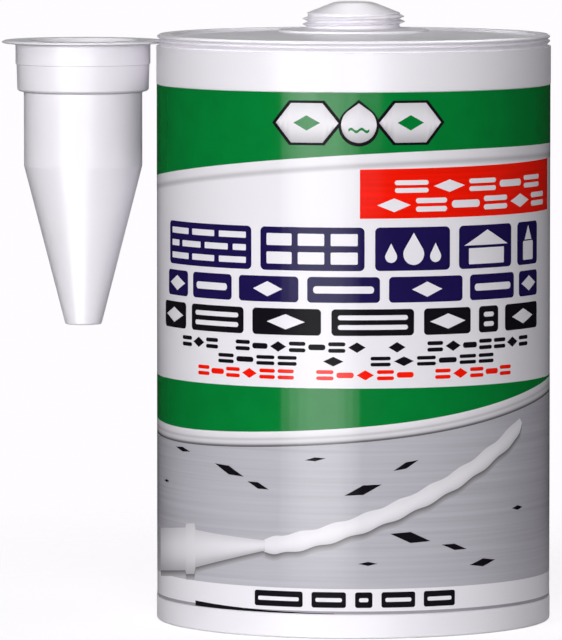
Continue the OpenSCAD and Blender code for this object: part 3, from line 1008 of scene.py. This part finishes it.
def floor_material():
    """A dull floor, lifted for the camera, that fades out with distance; light and sight pass upwards."""
    material, nodes, links, shader = tree("pale floor")
    nodes.remove(shader)
    lit = nodes.new("ShaderNodeBsdfDiffuse")
    lit.inputs["Color"].default_value = (*FLOOR_COLOUR, 1)
    glow = nodes.new("ShaderNodeEmission")
    glow.inputs["Color"].default_value = (*BACKDROP, 1)
    path = nodes.new("ShaderNodeLightPath")
    lift = nodes.new("ShaderNodeMath")
    lift.operation = "MULTIPLY"
    lift.inputs[1].default_value = FLOOR_LIFT
    both = nodes.new("ShaderNodeAddShader")
    clear = nodes.new("ShaderNodeBsdfTransparent")
    where = nodes.new("ShaderNodeTexCoord")
    far = nodes.new("ShaderNodeVectorMath")
    far.operation = "LENGTH"
    fade = nodes.new("ShaderNodeMapRange")
    fade.inputs["From Min"].default_value = FADE_START
    fade.inputs["From Max"].default_value = FADE_END
    below = nodes.new("ShaderNodeNewGeometry")
    unseen, gone = nodes.new("ShaderNodeMath"), nodes.new("ShaderNodeMath")
    unseen.operation = gone.operation = "MAXIMUM"
    mix = nodes.new("ShaderNodeMixShader")
    links.new(path.outputs["Is Camera Ray"], lift.inputs[0])
    links.new(lift.outputs[0], glow.inputs["Strength"])
    links.new(lit.outputs[0], both.inputs[0])
    links.new(glow.outputs[0], both.inputs[1])
    links.new(where.outputs["Object"], far.inputs[0])
    links.new(far.outputs["Value"], fade.inputs["Value"])
    links.new(path.outputs["Is Shadow Ray"], unseen.inputs[0])
    links.new(below.outputs["Backfacing"], unseen.inputs[1])
    links.new(fade.outputs["Result"], gone.inputs[0])
    links.new(unseen.outputs[0], gone.inputs[1])
    links.new(gone.outputs[0], mix.inputs["Fac"])
    links.new(both.outputs[0], mix.inputs[1])
    links.new(clear.outputs[0], mix.inputs[2])
    links.new(mix.outputs[0], nodes["Material Output"].inputs["Surface"])
    return material


def make_floor():
    """A pale round floor: rings of points about the axis, and a point in their middle."""
    r = np.linspace(0, FLOOR_R, FLOOR_RINGS + 1)[1:, None]
    t = np.arange(FLOOR_SIDES) * 2 * math.pi / FLOOR_SIDES
    level = np.full((FLOOR_RINGS, FLOOR_SIDES), FLOOR_Z)
    points = np.stack([r * np.cos(t), r * np.sin(t), level], -1).reshape(-1, 3)
    points = np.concatenate([points, [[0, 0, FLOOR_Z]]])
    ring = np.arange(FLOOR_RINGS - 1)[:, None] * FLOOR_SIDES
    side = np.arange(FLOOR_SIDES)[None, :]
    on = (side + 1) % FLOOR_SIDES
    out = ring + FLOOR_SIDES
    rings = np.stack([ring + side, out + side, out + on, ring + on], -1).reshape(-1, 4)
    middle = np.stack([side[0], on[0], np.full(FLOOR_SIDES, len(points) - 1)], -1)
    floor = new_piece("floor", points, [rings, middle], floor_material())


def softbox(name, side, rise, far, width, height, glow, gloss=True, diffuse=True, spread=180):
    """A flat rectangular light that faces the tube's middle: power is its radiance, glow, * pi * area."""
    data = bpy.data.lights.new(name, "AREA")
    data.shape = "RECTANGLE"
    data.size, data.size_y = width, height
    data.energy = glow * math.pi * width * height
    data.spread = math.radians(spread)
    lamp = bpy.data.objects.new(name, data)
    a, e = math.radians(side), math.radians(rise)
    lamp.location = (far * math.sin(a) * math.cos(e), -far * math.cos(a) * math.cos(e),
                     AIM_Z + far * math.sin(e))
    lamp.rotation_euler = (math.radians(90) - e, 0, a)
    lamp.visible_camera = False
    lamp.visible_glossy = gloss
    lamp.visible_diffuse = diffuse
    bpy.context.scene.collection.objects.link(lamp)


FAR = 1.25             # distance of most lights from the tube
AIM_Z = 0.038          # height at which they are aimed
PANEL_W = 0.42
PANEL_H = 0.329
WIDE_W = 1.026         # width and side of the key above and the gloss on the cone
WIDE_SIDE = -18.9
FILL_W = 0.9
FILL_H = 1
BEHIND_W = 2.4
BEHIND_H = 0.5
BEHIND_SIDE = 180
LAMP_FAR = 0.1         # the small lamp under the piston
LAMP_W = 0.03
LAMP_SPREAD = 20

# The sheen on the label brightens towards its middle: each panel's first side, last side and radiance
SHEEN_STEPS = [(-42.8, 2.8, 0.97), (-37.8, -0.9, 0.88), (-32.3, -5.6, 0.76), (-26.8, -9.1, 0.44)]
SHEEN_RISE = -7.5
SHEEN_APART = 0.01     # how much further off each panel stands than the one before

# Panels behind and above that show in gloss alone: each one's name, rise and radiance
BACK_PANELS = [("gloss behind", 45, 1.3), ("gloss behind and above", 60, 6.8), ("gloss above", 75, 3.5)]


def make_lights():
    """All the lights: the label's sheen, keys, fills, and the panels that show in gloss alone."""
    for number, (start, end, glow) in enumerate(SHEEN_STEPS):
        far = FAR + SHEEN_APART * number
        width = 2 * far * math.tan(math.radians(end - start) / 2)
        softbox(f"stripe {number} in the varnish", (start + end) / 2, SHEEN_RISE, far, width, PANEL_H,
                glow, diffuse=False)
    softbox("key on the left", -32, 7.5, FAR, PANEL_W, PANEL_H, 21)
    softbox("key on the right", 6, 7.5, FAR, PANEL_W, PANEL_H, 14.8)
    softbox("key above", WIDE_SIDE, 37.5, FAR, WIDE_W, PANEL_H, 2.4)
    softbox("fill on the right", 105, 8, FAR, FILL_W, FILL_H, 1.4, gloss=False)
    softbox("fill behind", BEHIND_SIDE, 12, FAR, FILL_W, FILL_H, 3, gloss=False)
    softbox("gloss on the nozzle's cone", WIDE_SIDE, -33, FAR, WIDE_W, PANEL_H, 14, diffuse=False)
    softbox("light on the piston from below", 0, -90, LAMP_FAR, LAMP_W, LAMP_W, 0.9, gloss=False,
            spread=LAMP_SPREAD)
    for name, rise, glow in BACK_PANELS:
        softbox(name, BEHIND_SIDE, rise, FAR, BEHIND_W, BEHIND_H, glow, diffuse=False)


make_camera()
make_world()
make_floor()
make_lights()

bpy.context.scene.view_settings.view_transform = "Standard"
